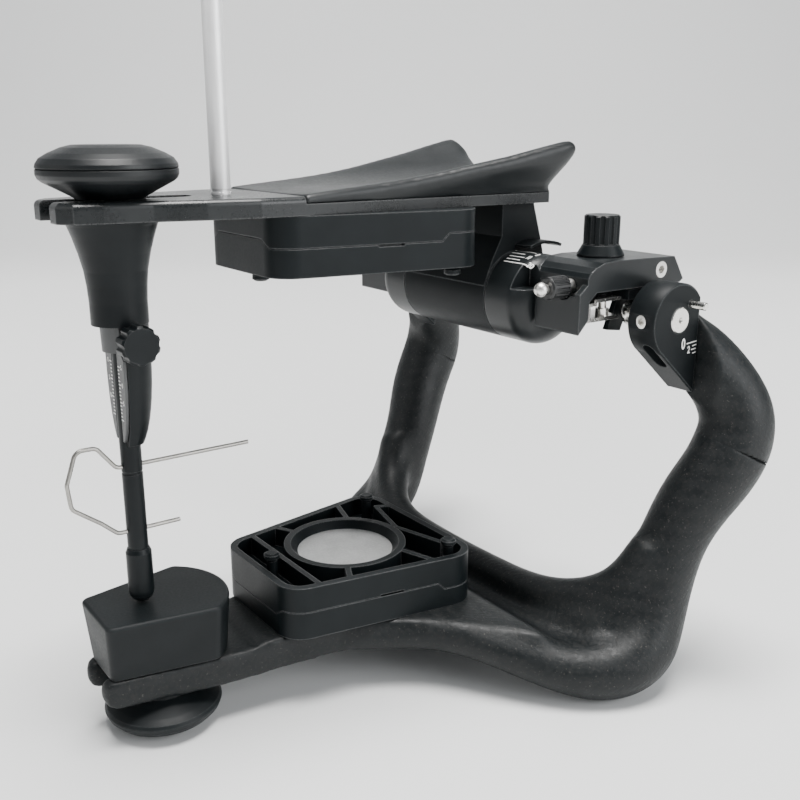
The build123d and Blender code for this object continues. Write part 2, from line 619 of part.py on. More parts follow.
# ---------------------------------------------------------------- condylar housing, right side
def housing():
    """Condylar housing: hub on the cross axle, front wall and roof over the condyle."""
    roof = [
        (117.6, 128.5), (117.6, 130.4), (118.6, 131.9), (120.9, 133.3), (124.2, 134.5), (129.5, ROOF_TOP),
        (155.4, ROOF_TOP - 0.6), (160.2, ROOF_UNDER + 1.0), (158.8, ROOF_UNDER), (121.4, ROOF_UNDER),
    ]
    wall = [(114.5, 114.1), (118.5, 118.3), (118.5, 123.4), (121.5, ROOF_UNDER), (121.5, 129.0),
            (117.6, 128.5), (114.5, 126.0)]
    body = side_profile(roof, ROOF_IN, HOUSING_OUT) + side_profile(wall, BLOCK_IN, HOUSING_OUT)
    hub = rod_x(TUBE_R, TUBE_HALF + SIDE_GAP, HUB_OUT, TUBE_Y, TUBE_Z)
    outer = hub.edges().filter_by(GeomType.CIRCLE).sort_by(Axis.X)[-1]
    hub = fillet(outer, HUB_ROUND)
    link = block(HUB_OUT - 4, BLOCK_IN + 4, 116.5, 130.4, 116.0, ROOF_UNDER + 2)
    body = body + hub + link
    body = body - rod_x(CROSS_R + FIT, 0, CROSS_HALF + 1.0, TUBE_Y, TUBE_Z)
    body = body - rod_z(PIVOT_R + FIT, 100, 160, PIVOT_X, PIVOT_Y)
    body = body - rod_y(SCREW_STEM_R + FIT, 110, SCREW_TIP_IN + 1, THUMB_X, THUMB_Z)
    ledge = THUMB_Z - THUMB_R + 0.9
    body = body - block(BLOCK_IN - 6, THUMB_X + THUMB_R + 1.4, 100, FRONT_FACE, ledge, ledge + 7)
    body = body - rod_y(THUMB_R + SIDE_GAP, 100, FRONT_FACE, THUMB_X, THUMB_Z)
    return body - rod_x(SIDE_SCREW_R, HOUSING_OUT - 6, HOUSING_OUT + 1, *SIDE_SCREW)


SIDE_SCREW = (149.6, 130.6)
SIDE_SCREW_R = 2.5
THUMB_X = 50.0
THUMB_Z = 127.6
THUMB_R = 3.4
SCREW_STEM_R = 1.5
SCREW_TIP_IN = 127.0


def side_screw():
    screw = rod_x(SIDE_SCREW_R, HOUSING_OUT - 6, HOUSING_OUT, *SIDE_SCREW)
    socket = Compound([
        rod_x(0.55, HOUSING_OUT - 1.4, HOUSING_OUT + 1, SIDE_SCREW[0] + 0.75 * math.cos(math.radians(a)),
              SIDE_SCREW[1] + 0.75 * math.sin(math.radians(a))) for a in range(0, 360, 60)])
    for lobe in socket.solids():
        screw = screw - lobe
    return screw - rod_x(0.8, HOUSING_OUT - 1.4, HOUSING_OUT + 1, *SIDE_SCREW)


def bennett_guide():
    """Fossa plate over the ball with the side wall that guides it, on the turntable pivot."""
    low = ROOF_UNDER - SIDE_GAP - FOSSA_THICK
    high = ROOF_UNDER - SIDE_GAP
    plate = block(PIVOT_X - 1.8, HOUSING_OUT - 0.2, 135.6, 152.6, low, high)
    plate = plate + rod_z(4.4, low, high, PIVOT_X, PIVOT_Y)
    wall = side_profile([(137.0, 111.6), (143.0, 110.8), (148.2, low + 0.1), (141.4, low + 0.1)],
                        BALL_X - BALL_R - 2.4, BALL_X - BALL_R - 0.5)
    return plate + wall - rod_z(PIVOT_R + FIT, 100, 160, PIVOT_X, PIVOT_Y)


def lock_knob():
    """Fluted knob with a conical skirt, its screw running down through roof and turntable."""
    skirt_low = ROOF_TOP + REST_GAP
    skirt_high = skirt_low + 3.2
    top = skirt_high + 9.0
    grip = rod_z(5.5, skirt_high, top, PIVOT_X, PIVOT_Y)
    grip = chamfer(grip.edges().sort_by(Axis.Z)[-1], 0.5)
    for i in range(12):
        a = math.radians(30 * i + 15)
        grip = grip - rod_z(0.85, skirt_high + 0.4, top + 1, PIVOT_X + 5.75 * math.cos(a), PIVOT_Y + 5.75 * math.sin(a))
    skirt = turned([(0, skirt_low), (7.2, skirt_low), (7.2, skirt_low + 0.4), (5.7, skirt_high), (0, skirt_high)],
                   PIVOT_X, PIVOT_Y)
    stem = rod_z(PIVOT_R, ROOF_UNDER - SIDE_GAP - FOSSA_THICK + 0.2, skirt_low, PIVOT_X, PIVOT_Y)
    return grip + skirt + stem


def thumb_screw():
    """Knurled protrusion screw with a ball-ended tip at the front of the housing."""
    back = FRONT_FACE - REST_GAP
    front = 107.6
    head = rod_y(THUMB_R, front, back - 2.4, THUMB_X, THUMB_Z)
    head = chamfer(head.edges().filter_by(GeomType.CIRCLE), 0.5)
    for i in range(14):
        a = math.radians(360 / 14 * i)
        head = head - rod_y(0.45, front + 1.2, back - 3.4, THUMB_X + (THUMB_R + 0.1) * math.cos(a),
                            THUMB_Z + (THUMB_R + 0.1) * math.sin(a))
    collar = rod_y(2.3, back - 2.4, back, THUMB_X, THUMB_Z)
    stem = rod_y(SCREW_STEM_R, back, SCREW_TIP_IN, THUMB_X, THUMB_Z)
    nose = rod_y(1.5, front - 1.2, front, THUMB_X, THUMB_Z)
    ball = at(THUMB_X, front - 2.0, THUMB_Z) * Sphere(2.1)
    return head + collar + stem + nose + ball


def centric_latch():
    """Small steel lever in front of the ball: two leaves, a post and the pad on the front wall."""
    front = 118.5 + REST_GAP
    upper_leaf = block(50.4, 56.2, front, 133.0, 122.9, 123.9)
    upper_leaf = upper_leaf - block(40, 60, front - 1, 121.6, 122.9, 130)
    lower_leaf = block(46.0, 56.2, front, 132.2, 117.2, 118.4)
    pad = block(50.4, 56.2, front, front + 1.4, 117.2, 122.9)
    web = block(50.4, 56.2, front + 1.4, 122.6, 121.9, 122.9)
    post = rod_z(1.2, 118.4, 122.9, 53.3, 128.0)
    collar = rod_z(2.0, 118.4, 120.4, 53.3, 128.0)
    return upper_leaf + lower_leaf + pad + web + post + collar


# ---------------------------------------------------------------- incisal pin group
def pin_sleeve():
    """Trumpet under the fork with the flatter, tapering body that clamps the incisal pin."""
    trumpet = turned([
        (0, SLEEVE_END), (3.9, SLEEVE_END), (4.6, SLEEVE_END + 1.7), (5.2, SLEEVE_END + 3.5),
        (5.9, SLEEVE_END + 6.5), (6.4, SLEEVE_END + 9.5), (6.8, SLEEVE_END + 12.5), (7.15, SLEEVE_END + 16.5),
        (7.35, SLEEVE_END + 20.5), (SLEEVE_R, SLEEVE_END + 25), (SLEEVE_R, CAP_TOP),
        (7.6, CAP_TOP), (7.6, 128.0), (7.85, 132.5), (8.3, 136.5), (9.3, 141.0),
        (10.5, 145.2), (11.6, 148.4), (12.0, 149.2), (12.0, UPPER_BOTTOM - REST_GAP),
        (0, UPPER_BOTTOM - REST_GAP),
    ], 0, PIN_Y)
    flat = block(-20, 20, -20, SCALE_FLAT, 0, CAP_TOP)
    body = trumpet - flat
    body = body - rod_z(PIN_R + FIT, 0, PIN_BORE_TOP, 0, PIN_Y)
    body = body - rod_z(STUD_R + FIT, PIN_BORE_TOP - 1, 200, 0, PIN_Y)
    return body - rod_x(SCREW_SHAFT_R + FIT, 0, 40, PIN_Y, SCREW_Z)


SLEEVE_R = 7.4
SCALE_FLAT = PIN_Y - 1.6
SCALE_THICK = 0.9
SCREW_SHAFT_R = 2.0


def scale_head():
    """Grey curved block over the front of the sleeve, above the scales."""
    ring = turned([(0, SCALE_HEAD_LOW), (5.3, SCALE_HEAD_LOW), (5.5, CAP_TOP), (0, CAP_TOP)], 0, PIN_Y)
    ring = ring - rod_z(PIN_R + FIT, 0, CAP_TOP + 1, 0, PIN_Y)
    ring = ring - rod_x(SCREW_SHAFT_R + FIT, 0, 40, PIN_Y, SCREW_Z)
    return ring & block(-4.95, 4.95, -20, SCALE_FLAT, 0, 200)


SCALE_HEAD_LOW = 114.9


def scale_plates():
    """Two engraved strips on the sleeve's front flat, either side of the slot that shows the pin."""
    strips = []
    for s in (-1, 1):
        top = SCALE_HEAD_LOW - 0.2
        outline = [(2.1, SLEEVE_END + 1.3), (2.9, SLEEVE_END + 1.3), (3.5, SLEEVE_END + 2.3),
                   (4.4, SLEEVE_END + 4.3), (5.4, SLEEVE_END + 7.7), (6.1, SLEEVE_END + 11.7),
                   (6.6, SLEEVE_END + 16.2), (6.8, SLEEVE_END + 20.7), (6.8, top - 1.8), (6.2, top - 0.6),
                   (5.2, top), (2.1, top)]
        face = make_face(Polyline(*[(s * x, SCALE_FLAT, z) for x, z in outline], close=True))
        strip = extrude(face, SCALE_THICK, dir=(0, -1, 0))
        strips.append(strip - rod_z(PIN_R + FIT, 0, top + 1, 0, PIN_Y))
    return Compound(strips)


def pin_thumb_screw():
    """Lobed plastic knob that clamps the incisal pin from the right."""
    low = 9.9
    high = 14.9
    knob = rod_x(5.3, low, high, PIN_Y, SCREW_Z)
    knob = chamfer(knob.edges().filter_by(GeomType.CIRCLE).sort_by(Axis.X)[-1], 0.6)
    for i in range(10):
        a = math.radians(36 * i)
        knob = knob - rod_x(1.15, low - 1, high + 1, PIN_Y + 5.8 * math.cos(a), SCREW_Z + 5.8 * math.sin(a))
    boss = rod_x(3.4, 7.3 + SIDE_GAP, low, PIN_Y, SCREW_Z)
    return knob + boss + rod_x(SCREW_SHAFT_R, PIN_R + REST_GAP, low, PIN_Y, SCREW_Z)


def incisal_pin():
    pin = rod_z(PIN_R, 57.0, PIN_TOP, 0, PIN_Y) + rod_z(TIP_SPIGOT_R, 50.0, 57.0, 0, PIN_Y)
    groove = rod_z(PIN_R + 1, WIRE_HIGH - 2.2, WIRE_HIGH - 1.4, 0, PIN_Y) - rod_z(PIN_R - 0.25, 0, 200, 0, PIN_Y)
    pin = pin - groove
    for z in (WIRE_HIGH, WIRE_LOW):
        pin = pin - rod_y(WIRE_R + 0.03, -10, 10, 0, z)
    return pin


def pin_tip():
    """Rounded plastic tip that rides on the incisal table."""
    low = TABLE_TOP + REST_GAP
    round_z = low + TIP_R
    points = [(0, 57.0), (PIN_R + 0.2, 57.0), (TIP_R, 55.6), (TIP_R, round_z)]
    for i in range(1, 6):
        a = math.radians(18 * i)
        points.append((TIP_R * math.cos(a), round_z - TIP_R * math.sin(a)))
    points[-1] = (0, low)
    return turned(points, 0, PIN_Y) - rod_z(TIP_SPIGOT_R, 50.0, 58.0, 0, PIN_Y)


def pointer_wire():
    """Bent steel pointer: two level arms through the pin, joined by a loop in front of it."""
    path = FilletPolyline(
        (0, 36.0, WIRE_HIGH), (0, -4.4, WIRE_HIGH), (0, -9.6, 88.6), (0, -15.2, 88.6), (0, -18.3, 79.5),
        (0, -17.6, 72.4), (0, -10.0, 66.6), (0, -5.4, WIRE_LOW), (0, 13.0, WIRE_LOW), radius=2.6)
    start = Plane(origin=(0, 36.0, WIRE_HIGH), z_dir=(0, -1, 0))
    return at(0, PIN_Y, 0) * sweep(start * Circle(WIRE_R), path)


def support_rod():
    """Plain rod; a shallow groove just above the plate divides the seated length from the free one."""
    rod = rod_z(ROD_R, ROD_SEAT, ROD_TOP, 0, ROD_Y)
    low = UPPER_TOP + ROD_GROOVE_UP
    ring = rod_z(ROD_R + 1, low, low + ROD_GROOVE, 0, ROD_Y)
    rod = rod - (ring - rod_z(ROD_R - 0.35, low, low + ROD_GROOVE, 0, ROD_Y))
    return chamfer(rod.edges().filter_by(GeomType.CIRCLE).sort_by(Axis.Z)[-1], 0.5)


# ---------------------------------------------------------------- export
def main():
    os.makedirs("parts", exist_ok=True)
    single = {
        "lower_frame": lower_frame, "incisal_table": incisal_table, "foot_knob": foot_knob,
        "foot_stud": foot_stud, "top_knob": top_knob, "top_knob_cap": top_knob_cap, "top_stud": top_stud,
        "upper_frame": upper_frame, "hand_rest": hand_rest, "cross_housing": cross_housing,
        "cross_axle": cross_axle, "pin_sleeve": pin_sleeve, "scale_head": scale_head,
        "scale_plates": scale_plates, "pin_thumb_screw": pin_thumb_screw, "incisal_pin": incisal_pin,
        "pin_tip": pin_tip, "pointer_wire": pointer_wire, "support_rod": support_rod,
    }
    for name, make in single.items():
        export(make(), name)
    pairs = {
        "upright_top": upright_top, "condyle_head": condyle_head, "condyle_axle": condyle_axle,
        "condyle_ball": condyle_ball, "condylar_housing": housing, "side_screw": side_screw,
        "bennett_guide": bennett_guide, "lock_knob": lock_knob, "thumb_screw": thumb_screw,
        "centric_latch": centric_latch,
    }
    for name, make in pairs.items():
        shape = make()
        export(shape, f"right_{name}")
        export(mirrored(shape), f"left_{name}")
    grouped = {"band_pins": band_pin, "head_set_screws": set_screw, "inclination_cursors": inclination_cursor}
    for name, make in grouped.items():
        shape = make()
        export(Compound([shape, mirrored(shape)]), name)
    stacks = {
        "carrier": carrier, "carrier_screw": carrier_screw, "magnet": magnet,
        "mounting_plate": mounting_plate, "keeper_disc": keeper_disc, "cast_posts": cast_posts,
    }
    for name, make in stacks.items():
        shape = make()
        export(shape, f"lower_{name}")
        export(upper_twin(shape), f"upper_{name}")


main()
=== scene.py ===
import math

import bmesh
import bpy
import numpy as np
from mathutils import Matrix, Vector


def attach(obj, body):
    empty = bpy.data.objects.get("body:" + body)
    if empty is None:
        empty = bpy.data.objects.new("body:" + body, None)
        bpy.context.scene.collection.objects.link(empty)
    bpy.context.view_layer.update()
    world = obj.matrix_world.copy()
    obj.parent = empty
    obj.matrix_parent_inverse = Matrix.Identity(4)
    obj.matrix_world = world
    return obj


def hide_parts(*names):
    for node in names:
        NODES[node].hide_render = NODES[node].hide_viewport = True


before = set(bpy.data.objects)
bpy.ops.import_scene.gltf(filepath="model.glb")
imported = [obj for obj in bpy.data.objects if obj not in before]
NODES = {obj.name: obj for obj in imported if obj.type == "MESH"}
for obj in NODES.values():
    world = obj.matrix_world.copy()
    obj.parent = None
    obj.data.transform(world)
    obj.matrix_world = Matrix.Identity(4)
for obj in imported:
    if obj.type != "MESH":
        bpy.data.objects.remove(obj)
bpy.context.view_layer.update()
MM = 0.001
VIEW_TURN = math.radians(54.25)  # the main view looks this far to the left of +Y


# ------------------------------------------------------------------ node helpers
class Shader:
    """A Principled material with short calls for the nodes that every finish here uses."""

    def __init__(self, name):
        self.mat = bpy.data.materials.new(name)
        self.mat.use_nodes = True
        self.tree = self.mat.node_tree
        self.bsdf = self.tree.nodes["Principled BSDF"]
        self.coord = self.node("ShaderNodeTexCoord").outputs["Object"]

    def node(self, kind, **props):
        made = self.tree.nodes.new(kind)
        for key, value in props.items():
            setattr(made, key, value)
        return made

    def link(self, a, b):
        self.tree.links.new(a, b)

    def put(self, socket, value):
        if isinstance(value, bpy.types.NodeSocket):
            self.link(value, socket)
        else:
            socket.default_value = value

    def math(self, op, a, b=0.0):
        m = self.node("ShaderNodeMath", operation=op)
        for socket, value in zip(m.inputs, (a, b)):
            self.put(socket, value)
        return m.outputs[0]

    def noise(self, per_mm, detail=3.0, rough=0.5, stretch=(1, 1, 1), distort=0.0):
        mapping = self.node("ShaderNodeMapping")
        self.link(self.coord, mapping.inputs["Vector"])
        mapping.inputs["Scale"].default_value = [s * per_mm / MM for s in stretch]
        tex = self.node("ShaderNodeTexNoise")
        tex.inputs["Scale"].default_value = 1.0
        tex.inputs["Detail"].default_value = detail
        tex.inputs["Roughness"].default_value = rough
        tex.inputs["Distortion"].default_value = distort
        self.link(mapping.outputs["Vector"], tex.inputs["Vector"])
        return tex.outputs["Fac"]

    def ramp(self, fac, lo, hi, to_lo, to_hi):
        m = self.node("ShaderNodeMapRange")
        self.put(m.inputs["Value"], fac)
        for key, value in (("From Min", lo), ("From Max", hi),
                           ("To Min", to_lo), ("To Max", to_hi)):
            m.inputs[key].default_value = value
        return m.outputs[0]

    def mix(self, fac, a, b):
        m = self.node("ShaderNodeMix", data_type="RGBA")
        self.put(m.inputs["Factor"], fac)
        for socket, value in ((m.inputs["A"], a), (m.inputs["B"], b)):
            self.put(socket, (*value, 1.0) if isinstance(value, tuple) else value)
        return m.outputs["Result"]

    def bump(self, height, depth_mm, strength=1.0, under=None):
        b = self.node("ShaderNodeBump")
        b.inputs["Strength"].default_value = strength
        b.inputs["Distance"].default_value = depth_mm * MM
        self.link(height, b.inputs["Height"])
        if under is not None:
            self.link(under, b.inputs["Normal"])
        return b.outputs["Normal"]

    def rounded(self, radius_mm):
        b = self.node("ShaderNodeBevel", samples=4)
        b.inputs["Radius"].default_value = radius_mm * MM
        return b.outputs["Normal"]

    def sharp_edge_mask(self, radius_mm):
        """1 along sharp edges, 0 on flats, from how far the rounded normal leaves the true one."""
        rounded = self.rounded(radius_mm)
        true = self.node("ShaderNodeNewGeometry").outputs["Normal"]
        dot = self.node("ShaderNodeVectorMath", operation="DOT_PRODUCT")
        self.link(rounded, dot.inputs[0])
        self.link(true, dot.inputs[1])
        return self.ramp(dot.outputs["Value"], 1.0, 0.9, 0.0, 1.0)


BARE_STEEL = ((0.66, 0.65, 0.62), (0.86, 0.85, 0.82))


def satin(name, dark, light, rough=(0.3, 0.42), grain=1.6, bump=0.012, edge=0.35, specular=0.5,
          edge_glint=None, bright=None):
    """Dark satin finishes: soft cloudy tone, fine grain in roughness and bump, softened edges.
    The edge colour is a painted highlight laid along the sharp edges. bright gives the two places
    along y, in mm, outside which the bare steel shows."""
    s = Shader(name)
    cloud = s.noise(0.08, detail=4)
    fine = s.noise(grain, detail=2)
    tone = s.mix(s.ramp(cloud, 0.35, 0.65, 0.0, 1.0), dark, light)
    # painted highlight: a lighter colour laid along the sharp edges, broken up by the fine grain
    if edge_glint:
        worn_and_glint = s.math("MULTIPLY", s.sharp_edge_mask(edge * 1.2), s.ramp(fine, 0.3, 0.7, 0.35, 1.0))
        tone = s.mix(worn_and_glint, tone, edge_glint)
    if bright:
        split = s.node("ShaderNodeSeparateXYZ")
        s.link(s.coord, split.inputs[0])
        bare = s.math("ADD", s.math("LESS_THAN", split.outputs["Y"], bright[0] * MM),
                      s.math("GREATER_THAN", split.outputs["Y"], bright[1] * MM))
        tone = s.mix(bare, tone, s.mix(fine, *BARE_STEEL))
        s.put(s.bsdf.inputs["Metallic"], bare)
    s.put(s.bsdf.inputs["Base Color"], tone)
    s.put(s.bsdf.inputs["Roughness"], s.ramp(s.math("ADD", cloud, fine), 0.7, 1.3, *rough))
    s.bsdf.inputs["Specular IOR Level"].default_value = specular
    s.put(s.bsdf.inputs["Normal"], s.bump(fine, bump, 0.8, s.rounded(edge)))
    return s.mat


TOW = 1.7                      # width of the carbon tows, mm
CARBON_DARK = (0.0022, 0.0040, 0.0048)
CARBON_LIGHT = (0.0052, 0.0068, 0.0074)
TOW_LIGHT = (0.0105, 0.0120, 0.0125)
MOTTLE_LIGHT = (0.0160, 0.0156, 0.0147)
FLECK_GLINT = (0.080, 0.074, 0.067)


def carbon(name):
    """Moulded twill carbon under a satin, slightly uneven resin skin, with pale flecks painted in
    as pin-prick glints."""
    s = Shader(name)
    split = s.node("ShaderNodeSeparateXYZ")
    s.link(s.coord, split.inputs[0])
    x, y, z = split.outputs
    normal = s.node("ShaderNodeSeparateXYZ")
    s.link(s.node("ShaderNodeTexCoord").outputs["Normal"], normal.inputs[0])
    weights = [s.math("POWER", s.math("ABSOLUTE", n), 6.0) for n in normal.outputs]
    total = s.math("ADD", s.math("ADD", weights[0], weights[1]), weights[2])
    warped = s.ramp(s.noise(0.12, detail=2), 0.3, 0.7, -0.35, 0.35)

    def twill(u, v):
        """2/2 twill at 45 degrees: 1 where the first tows lie on top, and the top tow's crown."""
        pitch = TOW * MM * math.sqrt(2)
        first = s.math("ADD", s.math("DIVIDE", s.math("ADD", u, v), pitch), warped)
        second = s.math("SUBTRACT", s.math("DIVIDE", s.math("SUBTRACT", u, v), pitch), warped)
        step = s.math("SUBTRACT", s.math("FLOOR", first), s.math("FLOOR", second))
        over = s.math("LESS_THAN", s.math("FLOORED_MODULO", step, 4.0), 1.5)
        under = s.math("SUBTRACT", 1.0, over)
        crown = s.math("ADD", s.math("MULTIPLY", over, s.math("PINGPONG", first, 0.5)),
                       s.math("MULTIPLY", under, s.math("PINGPONG", second, 0.5)))
        return over, crown

    over = height = None
    for weight, (u, v) in zip(weights, ((y, z), (x, z), (x, y))):
        o, h = twill(u, v)
        share = s.math("DIVIDE", weight, total)
        o, h = s.math("MULTIPLY", o, share), s.math("MULTIPLY", h, share)
        over = o if over is None else s.math("ADD", over, o)
        height = h if height is None else s.math("ADD", height, h)
    cloud = s.noise(0.035, detail=5, rough=0.6)
    blotch = s.noise(0.16, detail=4, rough=0.6, distort=0.4)
    mottle = s.noise(0.8, detail=4, rough=0.7)
    glint_speck = s.noise(1.5, detail=2, rough=0.4)
    fine = s.noise(5.0, detail=2)
    base = s.mix(s.ramp(cloud, 0.35, 0.65, 0.0, 1.0), CARBON_DARK, CARBON_LIGHT)
    base = s.mix(s.math("MULTIPLY", over, 0.35), base, TOW_LIGHT)
    base = s.mix(s.ramp(mottle, 0.50, 0.70, 0.0, 0.7), base, MOTTLE_LIGHT)
    # pale flecks: painted pin-prick glints scattered over the carbon
    base = s.mix(s.ramp(glint_speck, 0.66, 0.75, 0.0, 0.5), base, FLECK_GLINT)
    s.put(s.bsdf.inputs["Base Color"], base)
    rough = s.math("ADD", s.ramp(blotch, 0.3, 0.7, 0.42, 0.52),
                   s.ramp(mottle, 0.3, 0.7, -0.06, 0.07))
    s.put(s.bsdf.inputs["Roughness"], s.math("ADD", rough, s.math("MULTIPLY", over, 0.04)))
    s.bsdf.inputs["Specular IOR Level"].default_value = 0.27
    n = s.bump(blotch, 0.45, 0.5)
    n = s.bump(height, 0.08, 0.6, n)
    n = s.bump(mottle, 0.07, 0.6, n)
    s.put(s.bsdf.inputs["Normal"], s.bump(fine, 0.01, 0.4, n))
    return s.mat


def metal(name, dark, light, rough, stretch=(1, 1, 1), grain=2.0, bump=0.006, edge=0.15,
          metallic=1.0):
    """Bright turned or brushed metal with fine directional grain."""
    s = Shader(name)
    line = s.noise(grain, detail=3, stretch=stretch)
    cloud = s.noise(0.15, detail=3)
    tone = s.ramp(s.math("ADD", line, cloud), 0.7, 1.3, 0.0, 1.0)
    s.put(s.bsdf.inputs["Base Color"], s.mix(tone, dark, light))
    s.put(s.bsdf.inputs["Roughness"], s.ramp(line, 0.3, 0.7, *rough))
    s.bsdf.inputs["Metallic"].default_value = metallic
    s.put(s.bsdf.inputs["Normal"], s.bump(line, bump, 0.6, s.rounded(edge)))
    return s.mat


def paint(name, colour, worn_and_glint):
    """Filled engraving: matt white with thin, uneven places."""
    s = Shader(name)
    thin = s.ramp(s.noise(3.5, detail=4), 0.3, 0.7, 0.0, 1.0)
    s.put(s.bsdf.inputs["Base Color"], s.mix(thin, colour, worn_and_glint))
    s.put(s.bsdf.inputs["Roughness"], s.ramp(s.noise(5.0), 0.3, 0.7, 0.45, 0.65))
    return s.mat


SCREW_BRIGHT = (107.5, 115.1)   # y where the protrusion screws' tips and collars begin, mm
CARBON = carbon("carbon_twill")
# the edge colours given to these finishes are painted highlights along their edges
ANODISED = satin("black_anodised", (0.0052, 0.0070, 0.0078), (0.0084, 0.0106, 0.0116),
                 rough=(0.30, 0.40), grain=2.2, bump=0.003, edge=0.5, specular=0.34,
                 edge_glint=(0.085, 0.090, 0.092))
HEAD = satin("black_anodised_head", (0.0050, 0.0066, 0.0074), (0.0085, 0.0104, 0.0113),
             rough=(0.42, 0.52), grain=2.2, bump=0.003, edge=0.5, specular=0.12,
             edge_glint=(0.085, 0.090, 0.092))
PLATE = satin("black_anodised_plate", (0.0022, 0.0042, 0.0050), (0.0044, 0.0068, 0.0078),
              rough=(0.40, 0.50), grain=1.6, bump=0.005, edge=0.45, specular=0.17,
              edge_glint=(0.13, 0.132, 0.134))
UPPER = satin("black_upper_frame", (0.0050, 0.0066, 0.0072), (0.0090, 0.0110, 0.0118),
              rough=(0.24, 0.34), grain=1.2, bump=0.003, edge=0.5, specular=0.40,
              edge_glint=(0.085, 0.087, 0.087))
REST = satin("hand_rest_skin", (0.0034, 0.0050, 0.0057), (0.0070, 0.0088, 0.0096),
             rough=(0.34, 0.44), grain=1.0, bump=0.008, edge=0.8, specular=0.34)
KNOB = satin("black_knob", (0.0034, 0.0046, 0.0054), (0.0064, 0.0078, 0.0086),
             rough=(0.34, 0.46), grain=1.4, bump=0.010, edge=0.5, specular=0.34)
PLASTIC = satin("black_plastic", (0.0022, 0.0038, 0.0046), (0.0046, 0.0066, 0.0074),
                rough=(0.34, 0.44), grain=1.8, bump=0.006, edge=0.3, specular=0.18,
                edge_glint=(0.050, 0.052, 0.053))
TABLE = satin("table_plastic", (0.0034, 0.0052, 0.0060), (0.0068, 0.0088, 0.0096),
              rough=(0.44, 0.55), grain=1.3, bump=0.012, edge=0.6, specular=0.19,
              edge_glint=(0.050, 0.052, 0.053))
GREY = satin("grey_plastic", (0.046, 0.048, 0.049), (0.062, 0.064, 0.065),
             rough=(0.38, 0.5), grain=1.5, bump=0.010, edge=0.3)
SCREW = satin("black_oxide_screw", (0.0040, 0.0048, 0.0052), (0.0080, 0.0088, 0.0092),
              rough=(0.28, 0.4), grain=3.0, bump=0.010, edge=0.2, edge_glint=(0.06, 0.06, 0.06),
              bright=SCREW_BRIGHT)
STEEL = metal("steel_turned", *BARE_STEEL, rough=(0.16, 0.28), bump=0.0015, edge=0.08)
STEEL_PIN = metal("steel_wire", (0.24, 0.232, 0.215), (0.38, 0.368, 0.345),
                  rough=(0.28, 0.42), bump=0.002)
ROD = metal("rod_satin", (0.90, 0.90, 0.90), (0.98, 0.98, 0.98), rough=(0.36, 0.48),
            stretch=(1, 1, 0.05), grain=3.0, metallic=0.5)
DISC = metal("keeper_disc_steel", (0.62, 0.62, 0.61), (0.80, 0.80, 0.79), rough=(0.40, 0.58),
             grain=1.4, bump=0.01)
WHITE = paint("white_marking", (0.86, 0.86, 0.84), (0.68, 0.68, 0.66))

FINISH = {
    CARBON: ["lower_frame", "right_upright_top", "left_upright_top"],
    UPPER: ["upper_frame"],
    REST: ["hand_rest"],
    ANODISED: ["right_condylar_housing", "left_condylar_housing"],
    HEAD: ["right_condyle_head", "left_condyle_head", "cross_housing", "inclination_cursors"],
    PLATE: ["lower_carrier", "upper_carrier", "lower_mounting_plate", "upper_mounting_plate",
            "lower_cast_posts", "upper_cast_posts"],
    KNOB: ["top_knob", "top_knob_cap"],
    PLASTIC: ["pin_sleeve", "pin_thumb_screw", "right_lock_knob", "left_lock_knob",
              "right_bennett_guide", "left_bennett_guide", "incisal_pin", "pin_tip"],
    TABLE: ["incisal_table", "foot_knob"],
    GREY: ["scale_head", "scale_plates"],
    SCREW: ["right_thumb_screw", "left_thumb_screw"],
    STEEL: ["head_set_screws", "band_pins", "lower_carrier_screw", "upper_carrier_screw",
            "foot_stud", "top_stud", "right_condyle_axle", "left_condyle_axle",
            "right_condyle_ball", "left_condyle_ball", "cross_axle", "right_centric_latch",
            "left_centric_latch", "right_side_screw", "left_side_screw", "lower_magnet",
            "upper_magnet"],
    STEEL_PIN: ["pointer_wire"],
    ROD: ["support_rod"],
    DISC: ["lower_keeper_disc", "upper_keeper_disc"],
}
FINISH_OF = {node: mat for mat, nodes in FINISH.items() for node in nodes}
for node_name, obj in NODES.items():
    for material_slot in obj.material_slots:
        material_slot.material = FINISH_OF.get(node_name, STEEL)


# ------------------------------------------------------------------ moulded and cut shapes
def new_object(name, mesh, mat):
    obj = bpy.data.objects.new(name, mesh)
    bpy.context.scene.collection.objects.link(obj)
    mesh.materials.clear()
    mesh.materials.append(mat)
    return obj


def applied(obj):
    """The object's mesh with its modifiers applied."""
    bpy.context.view_layer.update()
    graph = bpy.context.evaluated_depsgraph_get()
    mesh = bpy.data.meshes.new_from_object(obj.evaluated_get(graph))
    old = obj.data
    obj.modifiers.clear()
    obj.data = mesh
    bpy.data.meshes.remove(old)
    return obj


def remeshed(name, bm, mat, voxel):
    """One closed skin of even quads round everything in bm."""
    mesh = bpy.data.meshes.new(name)
    bm.to_mesh(mesh)
    bm.free()
    obj = new_object(name, mesh, mat)
    remesh = obj.modifiers.new("remesh", "REMESH")
    remesh.mode = "VOXEL"
    remesh.voxel_size = voxel * MM
    return applied(obj)


def relax(mesh, rounds, steps, share):
    """Even out a mesh. One step rounds it; a step and a slightly larger one back only take ripples
    out. share(x, y, z) in millimetres gives how far each point takes part."""
    count = len(mesh.vertices)
    co = np.empty(count * 3)
    mesh.vertices.foreach_get("co", co)
    co = co.reshape(-1, 3)
    ends = np.empty(len(mesh.edges) * 2, dtype=np.int32)
    mesh.edges.foreach_get("vertices", ends)
    a, b = ends.reshape(-1, 2).T
    degree = (np.bincount(a, minlength=count) + np.bincount(b, minlength=count))[:, None]
    part = (share(*(co / MM).T) * np.ones(count))[:, None]
    for _ in range(rounds):
        for step in steps:
            total = np.stack([np.bincount(a, co[b, k], count) + np.bincount(b, co[a, k], count)
                              for k in range(3)], axis=1)
            co = co + step * part * (total / degree - co)
    mesh.vertices.foreach_set("co", co.ravel())
    mesh.update()


